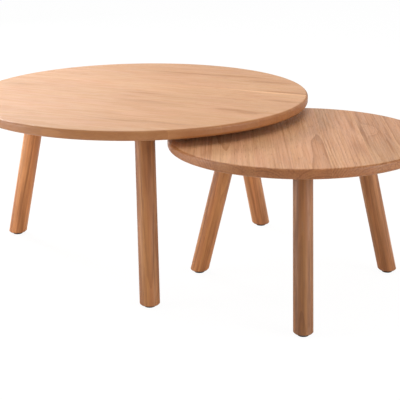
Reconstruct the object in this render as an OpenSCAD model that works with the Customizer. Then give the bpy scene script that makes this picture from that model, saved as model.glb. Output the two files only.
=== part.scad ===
// Two round nesting coffee tables in solid wood, each on three splayed round legs.
// The small table stands partly under the large one and slides along X.
// Origin: the middle of the floor area that both tables cover. +Z is up. Millimetres.

/* [Large table] */
// Diameter of the large top
large_d = 900; // [880:5:920]
// Height of the large table
large_h = 450; // [447:1:470]
// Diameter of the large table's legs
large_leg_d = 50; // [44:1:54]
// Splay of the large table's legs from vertical, in degrees
large_splay = 13; // [11:0.5:14]
// Distance from the large table's centre to the middle of each foot
large_foot_r = 415; // [407:1:421]
// Direction of the large top's grain from X, in degrees
large_turn = 13; // [8:1:18]

/* [Small table] */
// Diameter of the small top
small_d = 640; // [630:1:650]
// Height of the small table
small_h = 405; // [390:1:407]
// Diameter of the small table's legs
small_leg_d = 47; // [42:1:50]
// Splay of the small table's legs from vertical, in degrees
small_splay = 15; // [13:0.5:16]
// Distance from the small table's centre to the middle of each foot
small_foot_r = 288; // [283:1:295]
// Direction of the small top's grain from X, in degrees
small_turn = 127; // [120:1:132]

/* [Nesting] */
// Distance between the centres of the two tables
centre_distance = 511; // [506:1:600]

/* [Tops] */
// Thickness of both tops
top_t = 25; // [22:0.5:28]
// Rounding of the upper edge of both tops
top_edge_r = 7; // [2:0.5:9]
// Rounding of the lower edge of both tops
under_edge_r = 8; // [2:0.5:10]

/* [Battens] */
// Thickness of the battens under the tops
batten_t = 12; // [8:0.5:14]
// Width of the large table's battens
large_batten_w = 60; // [40:1:64]
// Width of the small table's battens
small_batten_w = 48; // [36:1:50]
// Bevel along the lower edges of the battens
batten_bevel = 3; // [1:0.5:5]

/* [Leg plates] */
// Diameter of the round steel plate on top of each leg
plate_d = 86; // [82:1:90]
// Thickness of the leg plates
plate_t = 3; // [2.5:0.5:4]

/* [Feet] */
// Bevel around the lower end of each leg
foot_bevel = 3; // [1:0.5:7]
// Diameter of the glide under each leg
glide_d = 27; // [24:1:30]
// Thickness of the glides
glide_t = 6; // [5:0.5:8]

/* [Screws] */
// Diameter of every screw's shank
shank_d = 4.5; // [4:0.1:5]
// Diameter of every screw's head
head_d = 9; // [8:0.5:10]
// Radial clearance around every screw
screw_gap = 0.1; // [0.05:0.05:0.3]

/* [Hidden] */
$fn = 96;

// Every list below has the large table first and the small table second.
TABLES = [0, 1];
table_name = ["large", "small"];
top_d = [large_d, small_d];
table_h = [large_h, small_h];
leg_d = [large_leg_d, small_leg_d];
splay = [large_splay, small_splay];
foot_r = [large_foot_r, small_foot_r];
turn = [large_turn, small_turn];
batten_w = [large_batten_w, small_batten_w];

// The boards of each top, as shares of its diameter, from the -Y side of the table.
board_share = [
    [88, 94, 98, 102, 98, 103, 99, 106, 112],
    [92, 74, 96, 81, 86, 96, 110]
];
// Where each batten crosses the table's X, as a share of the top's radius.
batten_share = [[-0.34, 0.56], [-0.28, 0.58]];
// How far the battens stay inside the top's edge.
batten_inset = 40;
// The three legs' directions, from the grain's direction.
leg_angles = [60, 180, 300];

// Place of the tables along X: both together are centred on the origin.
span = top_d[0] / 2 + centre_distance + top_d[1] / 2;
centre_x = [top_d[0] / 2 - span / 2, span / 2 - top_d[1] / 2];

// Screws: lengths under the head, and the shape of their heads and points.
batten_screw_l = 28;
plate_screw_l = 20;
leg_screw_l = 36;
glide_screw_l = 22;
head_t = 2.4;
point_l = 4;
point_d = 1;
recess_w = 1.2;
recess_l = 4.8;
recess_depth = 1.2;
// Slots let the top swell across the grain.
slot_l = 12;
// Radial clearance where a screw may sit loosely.
loose_gap = 0.5;
// How far a cut runs past the face that it goes through.
over = 1;
// Circles of screws: four hold each plate to the top, three hold it to its leg.
plate_screw_r = 35;
plate_screw_angles = [0, 90, 180, 270];
leg_screw_r = 11;
leg_screw_angles = [0, 120, 240];
plate_edge = 0.6;
// The glide's screw head sits in a pocket.
glide_pocket_t = 3;
glide_edge_r = 1.5;
glide_top_edge_r = 0.5;
// Flat steps in each rounded edge.
edge_steps = 6;

wood_top = "#dcb391";
wood_leg = "#b9855a";
wood_batten = "#c89c70";
steel = "#b8bcc0";
zinc = "#cfd0cb";
nylon = "#1c1c1d";

function sum(v, n) = n == 0 ? 0 : v[n - 1] + sum(v, n - 1);
function under_z(t) = table_h[t] - top_t;
function board_count(t) = len(board_share[t]);
function board_y(t, i) =
    top_d[t] * (sum(board_share[t], i) / sum(board_share[t], board_count(t)) - 0.5);
function axis_r(t, z) = foot_r[t] - z * tan(splay[t]);
function plate_r(t) = axis_r(t, under_z(t) - plate_t);
function polar(r, a) = [r * cos(a), r * sin(a)];
function batten_x(t, b) = batten_share[t][b] * top_d[t] / 2;
function batten_half(t, b) =
    sqrt(pow(top_d[t] / 2 - batten_inset, 2) - pow(abs(batten_x(t, b)) + batten_w[t] / 2, 2));

// Places of the screws that enter the top, in the table's own X and Y.
function batten_screws(t, b) = [
    for (i = [0 : board_count(t) - 1])
        let (y = (board_y(t, i) + board_y(t, i + 1)) / 2)
            if (abs(y) < batten_half(t, b) - slot_l) [batten_x(t, b), y]
];
function plate_screws(t, k) = [
    for (a = plate_screw_angles)
        polar(plate_r(t), leg_angles[k]) + polar(plate_screw_r, leg_angles[k] + a)
];
function leg_screws(t) = [for (a = leg_screw_angles) [plate_r(t), 0] + polar(leg_screw_r, a)];

// Moves what is drawn around a table's centre to where the table stands.
module at_table(t) {
    translate([centre_x[t], 0, 0]) rotate(turn[t]) children();
}

// Moves what is drawn along X to the direction of leg k.
module at_leg(t, k) {
    at_table(t) rotate(leg_angles[k]) children();
}

// A shank that points up from Z = 0, with a point at its end.
module shank(l, gap = 0) {
    cylinder(h = l - point_l, d = shank_d + 2 * gap);
    translate([0, 0, l - point_l]) cylinder(h = point_l, d1 = shank_d + 2 * gap, d2 = point_d);
}

module cross_recess() {
    for (a = [0, 90]) {
        rotate(a) translate([-recess_l / 2, -recess_w / 2, 0]) cube([recess_l, recess_w, recess_depth]);
    }
}

// A pan-head screw whose head hangs below Z = 0.
module pan_screw(l) {
    dome = head_t / 3;
    difference() {
        union() {
            shank(l);
            translate([0, 0, dome - head_t]) cylinder(h = head_t - dome, d = head_d);
            translate([0, 0, -head_t]) cylinder(h = dome, d1 = head_d - 2 * dome, d2 = head_d);
        }
        translate([0, 0, -head_t]) cross_recess();
    }
}

// A countersunk cone that widens down to Z = 0.
module countersink(gap = 0) {
    cylinder(h = head_t, d1 = head_d + 2 * gap, d2 = shank_d + 2 * gap);
}

// A countersunk screw whose head is flush with Z = 0.
module flat_screw(l) {
    difference() {
        union() {
            shank(l);
            countersink();
        }
        cross_recess();
    }
}

// A disc whose edges are rounded below and above by the radii given, in short flat steps.
module soft_disc(r, h, low_e, high_e) {
    step = 90 / edge_steps;
    rotate_extrude() polygon(concat(
        [[0, 0]],
        [for (a = [-90 : step : 0]) [r - low_e, low_e] + polar(low_e, a)],
        [for (a = [0 : step : 90]) [r - high_e, h - high_e] + polar(high_e, a)],
        [[0, h]]
    ));
}

// The holes that screws from below make in board i of a top.
module board_holes(t, i) {
    reach = shank_d / 2 + screw_gap;
    low = board_y(t, i - 1) - reach;
    high = board_y(t, i) + reach;
    for (b = [0, 1]) for (p = batten_screws(t, b)) if (p[1] > low && p[1] < high) {
        translate([p[0], p[1], under_z(t) - batten_t]) shank(batten_screw_l, screw_gap);
    }
    for (k = [0 : 2]) for (p = plate_screws(t, k)) if (p[1] > low && p[1] < high) {
        translate([p[0], p[1], under_z(t) - plate_t]) shank(plate_screw_l, screw_gap);
    }
}

// Board i of a top: a strip of the round top along the grain.
module top_board(t, i) {
    r = top_d[t] / 2;
    color(wood_top) at_table(t) difference() {
        translate([0, 0, under_z(t)]) intersection() {
            soft_disc(r, top_t, under_edge_r, top_edge_r);
            translate([-r, board_y(t, i - 1), 0]) cube([2 * r, board_y(t, i) - board_y(t, i - 1), top_t]);
        }
        board_holes(t, i);
    }
}

// A slot along Y that lets a batten screw move.
module slot() {
    w = shank_d + 2 * loose_gap;
    h = batten_t + 2 * over;
    half = (slot_l - w) / 2;
    for (y = [-half, half]) translate([0, y, -over]) cylinder(h = h, d = w);
    translate([-w / 2, -half, -over]) cube([w, 2 * half, h]);
}

// The section of a batten, with its lower edges bevelled.
module batten_section(w) {
    c = batten_bevel;
    x = w / 2;
    polygon([[-x, c], [-x + c, 0], [x - c, 0], [x, c], [x, batten_t], [-x, batten_t]]);
}

module batten(t, b) {
    half = batten_half(t, b);
    x = batten_x(t, b);
    color(wood_batten) at_table(t) translate([0, 0, under_z(t) - batten_t]) difference() {
        translate([x, 0, 0]) intersection() {
            translate([0, half, 0]) rotate([90, 0, 0]) linear_extrude(2 * half) batten_section(batten_w[t]);
            translate([-batten_w[t] / 2, 0, 0]) rotate([90, 0, 90]) {
                linear_extrude(batten_w[t]) batten_section(2 * half);
            }
        }
        for (p = batten_screws(t, b)) translate([p[0], p[1], 0]) slot();
    }
}

// The ring that is cut away to bevel a leg's lower end.
module foot_cutter(t) {
    inner = leg_d[t] / 2 - foot_bevel;
    wide = leg_d[t] / 2;
    translate([axis_r(t, glide_t), 0, glide_t]) rotate_extrude() {
        polygon([[inner, 0], [inner + wide, 0], [inner + wide, wide]]);
    }
}

// A round leg that leans in towards the top, cut level at both ends.
module leg(t, k) {
    l = under_z(t) - plate_t - glide_t;
    extra = leg_d[t];
    slab = 4 * leg_d[t];
    color(wood_leg) at_leg(t, k) difference() {
        intersection() {
            translate([foot_r[t], 0, 0]) rotate([0, -splay[t], 0]) {
                translate([0, 0, -extra]) cylinder(h = table_h[t] + 2 * extra, d = leg_d[t]);
            }
            translate([axis_r(t, table_h[t] / 2) - slab / 2, -slab / 2, glide_t]) cube([slab, slab, l]);
        }
        foot_cutter(t);
        for (p = leg_screws(t)) translate([p[0], p[1], under_z(t)]) mirror([0, 0, 1]) {
            shank(leg_screw_l, screw_gap);
        }
        translate([axis_r(t, glide_t), 0, glide_pocket_t]) shank(glide_screw_l, screw_gap);
    }
}

// The round steel plate between a leg and the top.
module leg_plate(t, k) {
    e = plate_edge;
    color(steel) at_leg(t, k) translate([0, 0, under_z(t) - plate_t]) difference() {
        translate([plate_r(t), 0, 0]) {
            cylinder(h = e, d1 = plate_d - 2 * e, d2 = plate_d);
            translate([0, 0, e]) cylinder(h = plate_t - e, d = plate_d);
        }
        for (a = plate_screw_angles) {
            translate([plate_r(t), 0, -over] + concat(polar(plate_screw_r, a), 0)) {
                cylinder(h = plate_t + 2 * over, d = shank_d + 2 * loose_gap);
            }
        }
        for (p = leg_screws(t)) translate([p[0], p[1], plate_t]) mirror([0, 0, 1]) {
            countersink(screw_gap);
            cylinder(h = plate_t + over, d = shank_d + 2 * screw_gap);
        }
    }
}

// The black pad under a leg, with a pocket for its screw.
module glide(t, k) {
    color(nylon) at_leg(t, k) translate([axis_r(t, glide_t), 0, 0]) difference() {
        soft_disc(glide_d / 2, glide_t, glide_edge_r, glide_top_edge_r);
        translate([0, 0, -over]) cylinder(h = glide_pocket_t + over, d = head_d + 2 * loose_gap);
        cylinder(h = glide_t + over, d = shank_d + 2 * screw_gap);
    }
}

module batten_screw_set(t) {
    color(zinc) at_table(t) for (b = [0, 1]) for (p = batten_screws(t, b)) {
        translate([p[0], p[1], under_z(t) - batten_t]) pan_screw(batten_screw_l);
    }
}

module plate_screw_set(t) {
    color(zinc) at_table(t) for (k = [0 : 2]) for (p = plate_screws(t, k)) {
        translate([p[0], p[1], under_z(t) - plate_t]) pan_screw(plate_screw_l);
    }
}

module leg_screw_set(t) {
    color(zinc) for (k = [0 : 2]) at_leg(t, k) for (p = leg_screws(t)) {
        translate([p[0], p[1], under_z(t)]) mirror([0, 0, 1]) flat_screw(leg_screw_l);
    }
}

module glide_screw_set(t) {
    color(zinc) for (k = [0 : 2]) at_leg(t, k) {
        translate([axis_r(t, glide_t), 0, glide_pocket_t]) pan_screw(glide_screw_l);
    }
}

for (t = TABLES) {
    name = table_name[t];
    for (i = [1 : board_count(t)]) {
        top_board(t, i);
    }
    for (b = [1 : 2]) {
        batten(t, b - 1);
    }
    for (k = [1 : 3]) {
        leg(t, k - 1);
        leg_plate(t, k - 1);
        glide(t, k - 1);
    }
    batten_screw_set(t);
    plate_screw_set(t);
    leg_screw_set(t);
    glide_screw_set(t);
}
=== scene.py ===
"""Two round nesting tables in oiled solid wood: materials, floor, lights and camera around the CAD model.

Every length is in metres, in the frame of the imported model: +X from the large table to the small one, +Z up.
"""

import math
import random
from collections import namedtuple

import bpy
from mathutils import Matrix, Vector


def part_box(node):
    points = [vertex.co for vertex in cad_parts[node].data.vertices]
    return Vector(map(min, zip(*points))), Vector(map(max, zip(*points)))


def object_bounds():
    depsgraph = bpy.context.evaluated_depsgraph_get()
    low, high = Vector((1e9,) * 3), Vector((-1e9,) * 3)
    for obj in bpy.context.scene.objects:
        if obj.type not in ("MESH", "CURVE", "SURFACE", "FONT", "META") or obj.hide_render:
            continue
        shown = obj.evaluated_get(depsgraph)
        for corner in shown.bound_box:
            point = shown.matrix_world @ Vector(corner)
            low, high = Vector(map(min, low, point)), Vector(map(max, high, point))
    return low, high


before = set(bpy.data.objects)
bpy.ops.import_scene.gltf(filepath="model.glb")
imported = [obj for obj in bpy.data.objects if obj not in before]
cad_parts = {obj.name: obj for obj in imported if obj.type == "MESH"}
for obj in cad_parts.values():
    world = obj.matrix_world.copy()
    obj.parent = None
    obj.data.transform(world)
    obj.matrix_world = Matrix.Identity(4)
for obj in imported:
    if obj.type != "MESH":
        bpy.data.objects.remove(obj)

CAD_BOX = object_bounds()
TABLES = ("large", "small")
LEGS = (1, 2, 3)
UP = Vector((0, 0, 1))

# Where the camera stands, and how it looks: the angles are in degrees.
CAMERA_PLACE = Vector((1.9065, -2.3997, 1.095))
CAMERA_AZIMUTH = 38.28
CAMERA_PITCH = 16.57
CAMERA_ROLL = -0.54
CAMERA_LENS = 108.6
SENSOR_WIDTH = 36.0
CLIP_END = 100.0

# The lights: azimuth from +X and elevation from level, in degrees, then distance, size and power in watts.
LIGHTS = {
    "key": (170, 27, 3.2, 0.8, 78),
    "overhead": (0, 90, 2.6, 2.4, 26),
    "left": (226, 11, 3.4, 2.0, 74),
    "right": (8, 12, 3.4, 2.0, 72),
    "wall": (152, 17, 4.5, 3.0, 16),
}
WORLD_STRENGTH = 0.62

# The floor: half its side, the greys that throw light back on the tables, and for the camera's rays alone how
# strongly it glows and how much light and shadow it takes.
FLOOR_HALF = 20.0
FLOOR_GREYS = ((0.84, 0.84, 0.84), (0.88, 0.88, 0.88))
FLOOR_GLOW = 0.95
FLOOR_SHADE = 0.06

# The look of a kind of wood. Colours are linear. edge is the factor on the colour of a board's edges, painted
# shade that makes the sides darker and deeper in colour than the faces, spacing the width of a year's ring, sway
# how far the rings wander, tilt how steeply they climb along the piece, and band the length and width of the
# broad stripes. The numbers from rings to lines are the shares that each feature adds to the darkness, flecks is
# how far the pores go to the deep colour, and rough is the roughness.
Look = namedtuple(
    "Look", "light rosy dark deep edge spacing sway tilt band rings bands streaks lines flecks rough"
)

LOOKS = {
    "large_top": Look(
        light=(0.560, 0.315, 0.162), rosy=(0.555, 0.288, 0.152), dark=(0.405, 0.190, 0.078),
        deep=(0.240, 0.095, 0.036), edge=(0.640, 0.500, 0.330), spacing=0.0130, sway=0.045, tilt=0.060,
        band=(0.17, 0.045), rings=0.20, bands=0.30, streaks=0.20, lines=0.12, flecks=0.30, rough=0.44,
    ),
    "small_top": Look(
        light=(0.590, 0.325, 0.165), rosy=(0.580, 0.292, 0.158), dark=(0.330, 0.140, 0.054),
        deep=(0.220, 0.080, 0.030), edge=(0.640, 0.500, 0.330), spacing=0.0060, sway=0.015, tilt=0.006,
        band=(0.30, 0.060), rings=1.00, bands=0.24, streaks=0.08, lines=0.48, flecks=0.70, rough=0.44,
    ),
    "leg": Look(
        light=(0.500, 0.222, 0.073), rosy=(0.460, 0.179, 0.061), dark=(0.235, 0.085, 0.024),
        deep=(0.120, 0.036, 0.011), edge=(1.0, 1.0, 1.0), spacing=0.0075, sway=0.025, tilt=0.030,
        band=(0.30, 0.020), rings=0.52, bands=0.54, streaks=0.26, lines=0.26, flecks=0.50, rough=0.48,
    ),
    "batten": Look(
        light=(0.430, 0.205, 0.085), rosy=(0.420, 0.190, 0.080), dark=(0.270, 0.110, 0.042),
        deep=(0.150, 0.055, 0.022), edge=(0.85, 0.80, 0.75), spacing=0.0060, sway=0.020, tilt=0.014,
        band=(0.30, 0.040), rings=0.35, bands=0.25, streaks=0.32, lines=0.30, flecks=0.40, rough=0.55,
    ),
}

# How light each board of a top and each leg is, from number 1. A board's tone is the wood's own; a leg's tone is
# the wood's own and painted light and shade as well, raised where that leg is lit more and lowered where it is
# lit less.
BOARD_TONES = {
    "large": (0.97, 1.00, 1.02, 1.00, 0.98, 1.02, 0.99, 0.96, 0.94),
    "small": (0.94, 0.92, 1.00, 1.03, 1.00, 0.99, 1.01),
}
LEG_TONES_AND_SHADE = {"large": (0.98, 1.20, 0.86), "small": (1.01, 0.62, 0.83)}

# Places and reaches within a board, along and across its grain: the knots that the rings run round, and the
# marks. A mark's last number says how much darker it is than the wood beside it, or how much lighter if it is
# negative.
KNOTS = {
    "large_top_board_4": (0.333, 0.000, 0.060, 0.022),
    "large_top_board_9": (-0.100, 0.020, 0.045, 0.016),
    "small_top_board_2": (0.050, 0.010, 0.045, 0.016),
}
KNOT_SWELL = 0.022
MARKS = {
    "large_top_board_2": ((0.220, 0.018, 0.080, 0.0050, 1.3), (0.110, 0.004, 0.090, 0.0060, 0.9)),
    "large_top_board_4": (
        (0.065, 0.025, 0.070, 0.0160, 0.6), (0.310, 0.016, 0.036, 0.0080, 2.0),
        (0.365, 0.004, 0.030, 0.0110, 1.6),
    ),
    "large_top_board_5": ((-0.370, 0.004, 0.035, 0.0060, 1.0), (0.020, 0.020, 0.060, 0.0060, 0.7)),
    "large_top_board_6": ((0.400, -0.040, 0.050, 0.0130, 1.2), (0.340, 0.046, 0.080, 0.0040, -0.8)),
    "large_top_board_7": ((0.320, -0.0490, 0.150, 0.0060, -1.0), (0.370, -0.0340, 0.070, 0.0080, 1.4)),
    "large_top_board_8": (
        (0.040, 0.018, 0.110, 0.0070, 1.3), (0.160, 0.030, 0.070, 0.0060, 1.2),
        (0.260, -0.020, 0.060, 0.0080, 0.9),
    ),
    "small_top_board_2": ((0.020, 0.030, 0.150, 0.0040, 1.1), (-0.085, -0.019, 0.090, 0.0030, 1.1)),
    "small_top_board_3": ((-0.140, -0.028, 0.070, 0.0140, 0.5), (0.100, -0.035, 0.080, 0.0050, 0.8)),
}

# What all woods have in common. A surface goes from edge to face as the part of its normal along w rises from the
# first number of LEVEL to the second.
LEVEL = (0.84, 0.97)
# Painted shade: how much deeper the figure's darkness is on the sides of a piece, which face neither up nor down,
# than on its faces.
PAINTED_SIDE_SHADE = 1.4
END_GRAIN = (0.70, 0.62, 0.55)
# Painted highlight: a thin lighter line along each seam between boards, its share and how much lighter it is.
SEAM_HIGHLIGHT_SHARE = 0.25
SEAM_HIGHLIGHT_TONE = 1.25
PALE_MARK_TONE = 1.3
FIBRE_SHARE = 0.12
WOOD_SPECULAR = 0.35
WOOD_RELIEF = 0.00025

# What metal and plastic have in common.
SPECKLED_SPECULAR = 0.2


class Net:
    """A material's node tree, with short ways to add and join its nodes."""

    def __init__(self, name):
        self.material = bpy.data.materials.new(name)
        self.material.use_nodes = True
        self.tree = self.material.node_tree
        self.shader = next(n for n in self.tree.nodes if n.type == "BSDF_PRINCIPLED")

    def feed(self, socket, value):
        if isinstance(value, bpy.types.NodeSocket):
            self.tree.links.new(value, socket)
        else:
            socket.default_value = value

    def add(self, kind, **settings):
        node = self.tree.nodes.new(kind)
        for key, value in settings.items():
            setattr(node, key, value)
        return node

    def math(self, operation, *values, clamp=False):
        node = self.add("ShaderNodeMath", operation=operation, use_clamp=clamp)
        for socket, value in zip(node.inputs, values):
            self.feed(socket, value)
        return node.outputs[0]

    def vector(self, operation, *values):
        node = self.add("ShaderNodeVectorMath", operation=operation)
        for socket, value in zip(node.inputs, values):
            self.feed(socket, value)
        return node.outputs["Value" if operation in ("DOT_PRODUCT", "LENGTH") else "Vector"]

    def combine(self, *values):
        node = self.add("ShaderNodeCombineXYZ")
        for socket, value in zip(node.inputs, values):
            self.feed(socket, value)
        return node.outputs[0]

    def noise(self, place, stretch, detail=2.0, shift=0.0):
        """Noise from 0 to 1 whose grains measure 1 / stretch along each axis."""
        moved = self.vector("ADD", place, (shift, shift * 0.37, shift * 0.71))
        scaled = self.vector("MULTIPLY", moved, stretch)
        node = self.add("ShaderNodeTexNoise", noise_dimensions="3D")
        self.feed(node.inputs["Vector"], scaled)
        node.inputs["Scale"].default_value = 1.0
        node.inputs["Detail"].default_value = detail
        node.inputs["Roughness"].default_value = 0.55
        return node.outputs["Fac"]

    def step(self, value, low, high, to_low=0.0, to_high=1.0):
        """A smooth step from to_low to to_high, as value goes from low to high."""
        node = self.add("ShaderNodeMapRange", interpolation_type="SMOOTHSTEP")
        numbers = {"Value": value, "From Min": low, "From Max": high, "To Min": to_low, "To Max": to_high}
        for name, number in numbers.items():
            self.feed(node.inputs[name], number)
        return node.outputs[0]

    def mix(self, share, first, second):
        node = self.add("ShaderNodeMix", data_type="RGBA")
        colours = [s for s in node.inputs if s.type == "RGBA"]
        self.feed(node.inputs["Factor"], share)
        for socket, value in zip(colours, (first, second)):
            self.feed(socket, value if isinstance(value, bpy.types.NodeSocket) else (*value, 1.0))
        return next(s for s in node.outputs if s.type == "RGBA")

    def product(self, share, colour, factor):
        """The colour, multiplied by factor as far as share says."""
        white = (1.0, 1.0, 1.0)
        node = self.add("ShaderNodeVectorMath", operation="MULTIPLY")
        self.feed(node.inputs[0], colour)
        self.feed(node.inputs[1], self.mix(share, white, factor))
        return node.outputs[0]

    def bump(self, height, distance):
        node = self.add("ShaderNodeBump")
        node.inputs["Strength"].default_value = 1.0
        node.inputs["Distance"].default_value = distance
        self.feed(node.inputs["Height"], height)
        self.feed(self.shader.inputs["Normal"], node.outputs[0])


def tinted(colour, tone):
    return tuple(channel * tone for channel in colour)


class Grain:
    """The place within a piece of wood: u along the grain, v across it and w through it, in metres."""

    def __init__(self, net, origin, along, across):
        coordinates = net.add("ShaderNodeTexCoord")
        place = net.vector("SUBTRACT", coordinates.outputs["Object"], origin)
        normal = coordinates.outputs["Normal"]
        through = along.cross(across)
        self.net = net
        self.u, self.v, self.w = [net.vector("DOT_PRODUCT", place, a) for a in (along, across, through)]
        self.place = net.combine(self.u, self.v, self.w)
        self.end = net.math("ABSOLUTE", net.vector("DOT_PRODUCT", normal, along))
        self.up = net.math("ABSOLUTE", net.vector("DOT_PRODUCT", normal, through))

    def noise(self, long, wide, detail, shift):
        """Noise whose grains are long by wide metres."""
        return self.net.noise(self.place, (1 / long, 1 / wide, 1 / wide), detail, shift)


def mound(grain, along, across, length, width):
    """1 at a place within a piece, and falling to 0 over a length and a width."""
    net = grain.net
    u = net.math("DIVIDE", net.math("SUBTRACT", grain.u, along), length)
    v = net.math("DIVIDE", net.math("SUBTRACT", grain.v, across), width)
    square = net.math("ADD", net.math("POWER", u, 2.0), net.math("POWER", v, 2.0))
    return net.math("EXPONENT", net.math("MULTIPLY", square, -1.0))


def year_rings(grain, look, chance, shift, knot):
    """Dark late wood from 0 to 1: rings round a heart that lies beside the piece and climbs along it."""
    net = grain.net
    heart_across = chance.uniform(-0.045, 0.045)
    heart_below = chance.uniform(0.030, 0.080)
    tilt = look.tilt * chance.choice((-1, 1)) * chance.uniform(0.5, 1.3)
    sway = net.math("MULTIPLY", grain.noise(0.60, 0.110, 2.0, shift), look.sway)
    sway = net.math("MULTIPLY_ADD", grain.noise(0.16, 0.030, 2.0, shift + 2), look.sway * 0.2, sway)
    if knot:
        sway = net.math("MULTIPLY_ADD", mound(grain, *knot), KNOT_SWELL, sway)
    side = net.math("ADD", net.math("ADD", grain.v, heart_across), sway)
    below = net.math("ADD", grain.w, net.math("MULTIPLY_ADD", grain.u, tilt, heart_below))
    radius = net.math("SQRT", net.math("ADD", net.math("POWER", side, 2.0), net.math("POWER", below, 2.0)))
    count = net.math("DIVIDE", net.math("MULTIPLY_ADD", sway, 0.6, radius), look.spacing)
    late = net.math("POWER", net.math("FRACT", count), 3.0)
    strength = net.noise(net.combine(count, 0.0, 0.0), (0.9, 1.0, 1.0), 1.0, shift)
    return net.math("MULTIPLY", late, net.step(strength, 0.32, 0.68, 0.15, 1.0))


def seam_highlight(grain, low, high):
    """1 on the thin line where a board meets the next one: the mask of a painted highlight along the seam."""
    net = grain.net
    gaps = [net.math("ABSOLUTE", net.math("SUBTRACT", grain.v, edge)) for edge in (low, high)]
    return net.step(net.math("MINIMUM", *gaps), 0.0004, 0.0012, 1.0, 0.0)


def wood(name, look, origin, along, across, tone=1.0, seams=None):
    """Solid wood: the figure runs through the piece, so its faces, edges and ends agree."""
    chance = random.Random(name)
    shift = chance.uniform(1.0, 9.0)
    net = Net(name)
    grain = Grain(net, origin, along, across)

    rings = year_rings(grain, look, chance, shift, KNOTS.get(name))
    bands = net.step(grain.noise(*look.band, 2.0, shift + 6), 0.34, 0.66)
    streaks = net.step(grain.noise(0.11, 0.009, 3.0, shift + 4), 0.36, 0.68)
    lines = net.step(grain.noise(0.24, 0.0026, 2.0, shift + 5), 0.42, 0.66)
    flecks = net.step(grain.noise(0.035, 0.0010, 1.0, shift + 8), 0.62, 0.74)
    fibre = grain.noise(0.020, 0.0005, 2.0, shift + 9)
    hue = net.step(grain.noise(*look.band, 2.0, shift + 11), 0.30, 0.70)

    dark = net.math("MULTIPLY", rings, look.rings)
    shares = ((bands, look.bands), (streaks, look.streaks), (lines, look.lines), (fibre, FIBRE_SHARE))
    for feature, share in shares:
        dark = net.math("MULTIPLY_ADD", feature, share, dark)
    # Painted shade: the figure is darker on the sides than on the faces.
    dark = net.math("MULTIPLY", dark, net.step(grain.up, *LEVEL, PAINTED_SIDE_SHADE, 1.0))
    marks = [(mound(grain, *place), share) for *place, share in MARKS.get(name, ())]
    for spot, share in marks:
        if share > 0:
            dark = net.math("MULTIPLY_ADD", spot, share, dark)
    light = net.mix(hue, tinted(look.light, tone), tinted(look.rosy, tone))
    colour = net.mix(net.math("MULTIPLY", dark, 0.8, clamp=True), light, tinted(look.dark, tone))
    colour = net.mix(net.math("MULTIPLY", flecks, look.flecks), colour, look.deep)
    for spot, share in marks:
        if share < 0:
            pale = tinted(look.light, PALE_MARK_TONE)
            colour = net.mix(net.math("MULTIPLY", spot, -share), colour, pale)
    # Painted highlight: the seams between boards are lightened along a thin line.
    if seams:
        line = net.math("MULTIPLY", seam_highlight(grain, *seams), SEAM_HIGHLIGHT_SHARE)
        colour = net.mix(line, colour, tinted(look.light, SEAM_HIGHLIGHT_TONE))
    # Painted shade: the sides take the look's edge factor, so they come out darker and deeper in colour than the
    # faces.
    colour = net.product(net.step(grain.up, *LEVEL, 1.0, 0.0), colour, look.edge)
    colour = net.product(net.step(grain.end, 0.5, 1.0, 0.0, 0.5), colour, END_GRAIN)

    net.feed(net.shader.inputs["Base Color"], colour)
    net.shader.inputs["Specular IOR Level"].default_value = WOOD_SPECULAR
    rough = net.step(streaks, 0.0, 1.0, look.rough - 0.05, look.rough + 0.07)
    net.feed(net.shader.inputs["Roughness"], rough)
    pores = net.math("MULTIPLY_ADD", rings, 0.3, flecks)
    net.bump(net.math("SUBTRACT", net.math("MULTIPLY", fibre, 0.5), pores), WOOD_RELIEF)
    return net.material


def speckled(name, colour, other, metallic, rough, grain_size, relief):
    """Metal or plastic with a fine mottle in its colour, its gloss and its surface."""
    net = Net(name)
    place = net.add("ShaderNodeTexCoord").outputs["Object"]
    fine = 1.0 / grain_size
    mottle = net.noise(place, (fine, fine, fine), 3.0)
    cloud = net.noise(place, (fine / 9, fine / 9, fine / 9), 2.0, 3.0)
    both = net.math("MULTIPLY_ADD", mottle, 0.6, net.math("MULTIPLY", cloud, 0.4))
    net.feed(net.shader.inputs["Base Color"], net.mix(net.step(both, 0.35, 0.65), colour, other))
    net.shader.inputs["Metallic"].default_value = metallic
    net.feed(net.shader.inputs["Roughness"], net.step(mottle, 0.3, 0.7, rough - 0.06, rough + 0.08))
    net.shader.inputs["Specular IOR Level"].default_value = SPECKLED_SPECULAR
    net.bump(mottle, relief)
    return net.material


def middle(node):
    low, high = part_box(node)
    return (low + high) / 2


def set_material(node, material):
    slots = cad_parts[node].data.materials
    slots.clear()
    slots.append(material)


def reach(node, axis):
    """How far a node reaches along an axis, from its lowest point to its highest."""
    places = [v.co.dot(axis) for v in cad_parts[node].data.vertices]
    return min(places), max(places)


def dress_table(table, steel, zinc, nylon):
    """Gives every node of one table its material."""
    feet = {leg: middle(f"{table}_glide_{leg}") for leg in LEGS}
    centre = sum(feet.values(), Vector()) / len(feet)
    # The second leg stands on the grain's line through the centre.
    grain = (centre - feet[2]).normalized()
    across = UP.cross(grain)

    for number, tone in enumerate(BOARD_TONES[table], 1):
        board = f"{table}_top_board_{number}"
        low, high = reach(board, across)
        offset = (low + high) / 2
        origin = centre + across * (offset - centre.dot(across)) + UP * reach(board, UP)[0]
        seams = (low - offset, high - offset)
        set_material(board, wood(board, LOOKS[table + "_top"], origin, grain, across, tone, seams))
    for number in (1, 2):
        batten = f"{table}_batten_{number}"
        set_material(batten, wood(batten, LOOKS["batten"], middle(batten), across, grain))
    # Each leg's tone carries painted light and shade as well as the wood's own tone.
    for leg, tone in zip(LEGS, LEG_TONES_AND_SHADE[table]):
        axis = (middle(f"{table}_leg_plate_{leg}") - feet[leg]).normalized()
        node = f"{table}_leg_{leg}"
        sideways = axis.cross(UP).normalized()
        set_material(node, wood(node, LOOKS["leg"], feet[leg], axis, sideways, tone))
        set_material(f"{table}_leg_plate_{leg}", steel)
        set_material(f"{table}_glide_{leg}", nylon)
    for kind in ("batten", "plate", "leg", "glide"):
        set_material(f"{table}_{kind}_screws", zinc)


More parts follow.
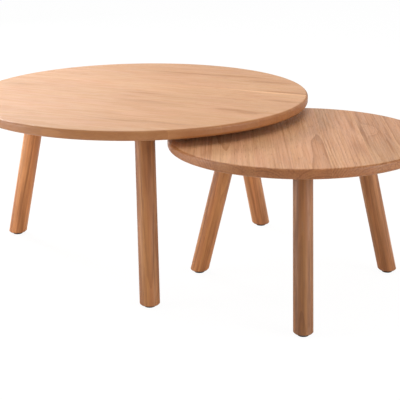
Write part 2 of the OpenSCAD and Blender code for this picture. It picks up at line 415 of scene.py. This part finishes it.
def floor_paper():
    """White paper: the camera sees it as brighter than the light that it throws back on the tables."""
    net = Net("floor_paper")
    place = net.add("ShaderNodeTexCoord").outputs["Object"]
    grey = net.mix(net.noise(place, (3.0, 3.0, 3.0)), *FLOOR_GREYS)
    net.feed(net.shader.inputs["Base Color"], grey)
    net.shader.inputs["Roughness"].default_value = 0.9
    net.shader.inputs["Specular IOR Level"].default_value = 0.1
    glow = net.add("ShaderNodeEmission")
    glow.inputs["Strength"].default_value = FLOOR_GLOW
    shade = net.add("ShaderNodeBsdfDiffuse")
    shade.inputs["Color"].default_value = (FLOOR_SHADE, FLOOR_SHADE, FLOOR_SHADE, 1.0)
    seen = net.add("ShaderNodeAddShader")
    net.feed(seen.inputs[0], glow.outputs[0])
    net.feed(seen.inputs[1], shade.outputs[0])
    choice = net.add("ShaderNodeMixShader")
    net.feed(choice.inputs[0], net.add("ShaderNodeLightPath").outputs["Is Camera Ray"])
    net.feed(choice.inputs[1], net.shader.outputs[0])
    net.feed(choice.inputs[2], seen.outputs[0])
    output = next(n for n in net.tree.nodes if n.type == "OUTPUT_MATERIAL")
    net.feed(output.inputs["Surface"], choice.outputs[0])
    return net.material


def make_floor():
    half = FLOOR_HALF
    corners = [(-half, -half, 0), (half, -half, 0), (half, half, 0), (-half, half, 0)]
    mesh = bpy.data.meshes.new("floor")
    mesh.from_pydata(corners, [], [(0, 1, 2, 3)])
    floor = bpy.data.objects.new("floor", mesh)
    bpy.context.scene.collection.objects.link(floor)
    floor.location.z = CAD_BOX[0].z
    mesh.materials.append(floor_paper())


def make_light(name, target, azimuth, elevation, distance, size, power):
    """A round soft light that shines on the target and isn't seen itself."""
    data = bpy.data.lights.new(name, "AREA")
    data.shape = "DISK"
    data.size = size
    data.energy = power
    light = bpy.data.objects.new(name, data)
    bpy.context.scene.collection.objects.link(light)
    turn, rise = math.radians(azimuth), math.radians(elevation)
    away = Vector((math.cos(turn) * math.cos(rise), math.sin(turn) * math.cos(rise), math.sin(rise)))
    light.location = target + away * distance
    light.rotation_euler = (-away).to_track_quat("-Z", "Y").to_euler()
    light.visible_camera = False


def make_world(strength):
    world = bpy.data.worlds.new("studio")
    bpy.context.scene.world = world
    world.use_nodes = True
    background = world.node_tree.nodes["Background"]
    background.inputs["Color"].default_value = (1, 1, 1, 1)
    background.inputs["Strength"].default_value = strength


def make_camera():
    data = bpy.data.cameras.new("camera")
    data.sensor_width = SENSOR_WIDTH
    data.lens = CAMERA_LENS
    data.clip_end = CLIP_END
    camera = bpy.data.objects.new("camera", data)
    bpy.context.scene.collection.objects.link(camera)
    azimuth, pitch = math.radians(CAMERA_AZIMUTH), math.radians(CAMERA_PITCH)
    level = math.cos(pitch)
    ahead = Vector((-math.sin(azimuth) * level, math.cos(azimuth) * level, -math.sin(pitch)))
    turn = ahead.to_track_quat("-Z", "Y").to_matrix()
    roll = Matrix.Rotation(math.radians(CAMERA_ROLL), 3, "Z")
    camera.location = CAMERA_PLACE
    camera.rotation_mode = "QUATERNION"
    camera.rotation_quaternion = (turn @ roll).to_quaternion()
    bpy.context.scene.camera = camera


def make_studio():
    make_floor()
    make_world(WORLD_STRENGTH)
    centre = (CAD_BOX[0] + CAD_BOX[1]) / 2
    for name, settings in LIGHTS.items():
        make_light(name, centre, *settings)
    bpy.context.scene.view_settings.view_transform = "Standard"


steel = speckled("plate_steel", (0.50, 0.51, 0.53), (0.62, 0.63, 0.64), 1.0, 0.38, 0.0025, 0.00002)
zinc = speckled("screw_zinc", (0.60, 0.59, 0.55), (0.72, 0.71, 0.67), 1.0, 0.32, 0.0015, 0.00001)
nylon = speckled("glide_nylon", (0.006, 0.006, 0.006), (0.012, 0.012, 0.012), 0.0, 0.60, 0.0008, 0.00004)
for table in TABLES:
    dress_table(table, steel, zinc, nylon)
make_studio()
make_camera()
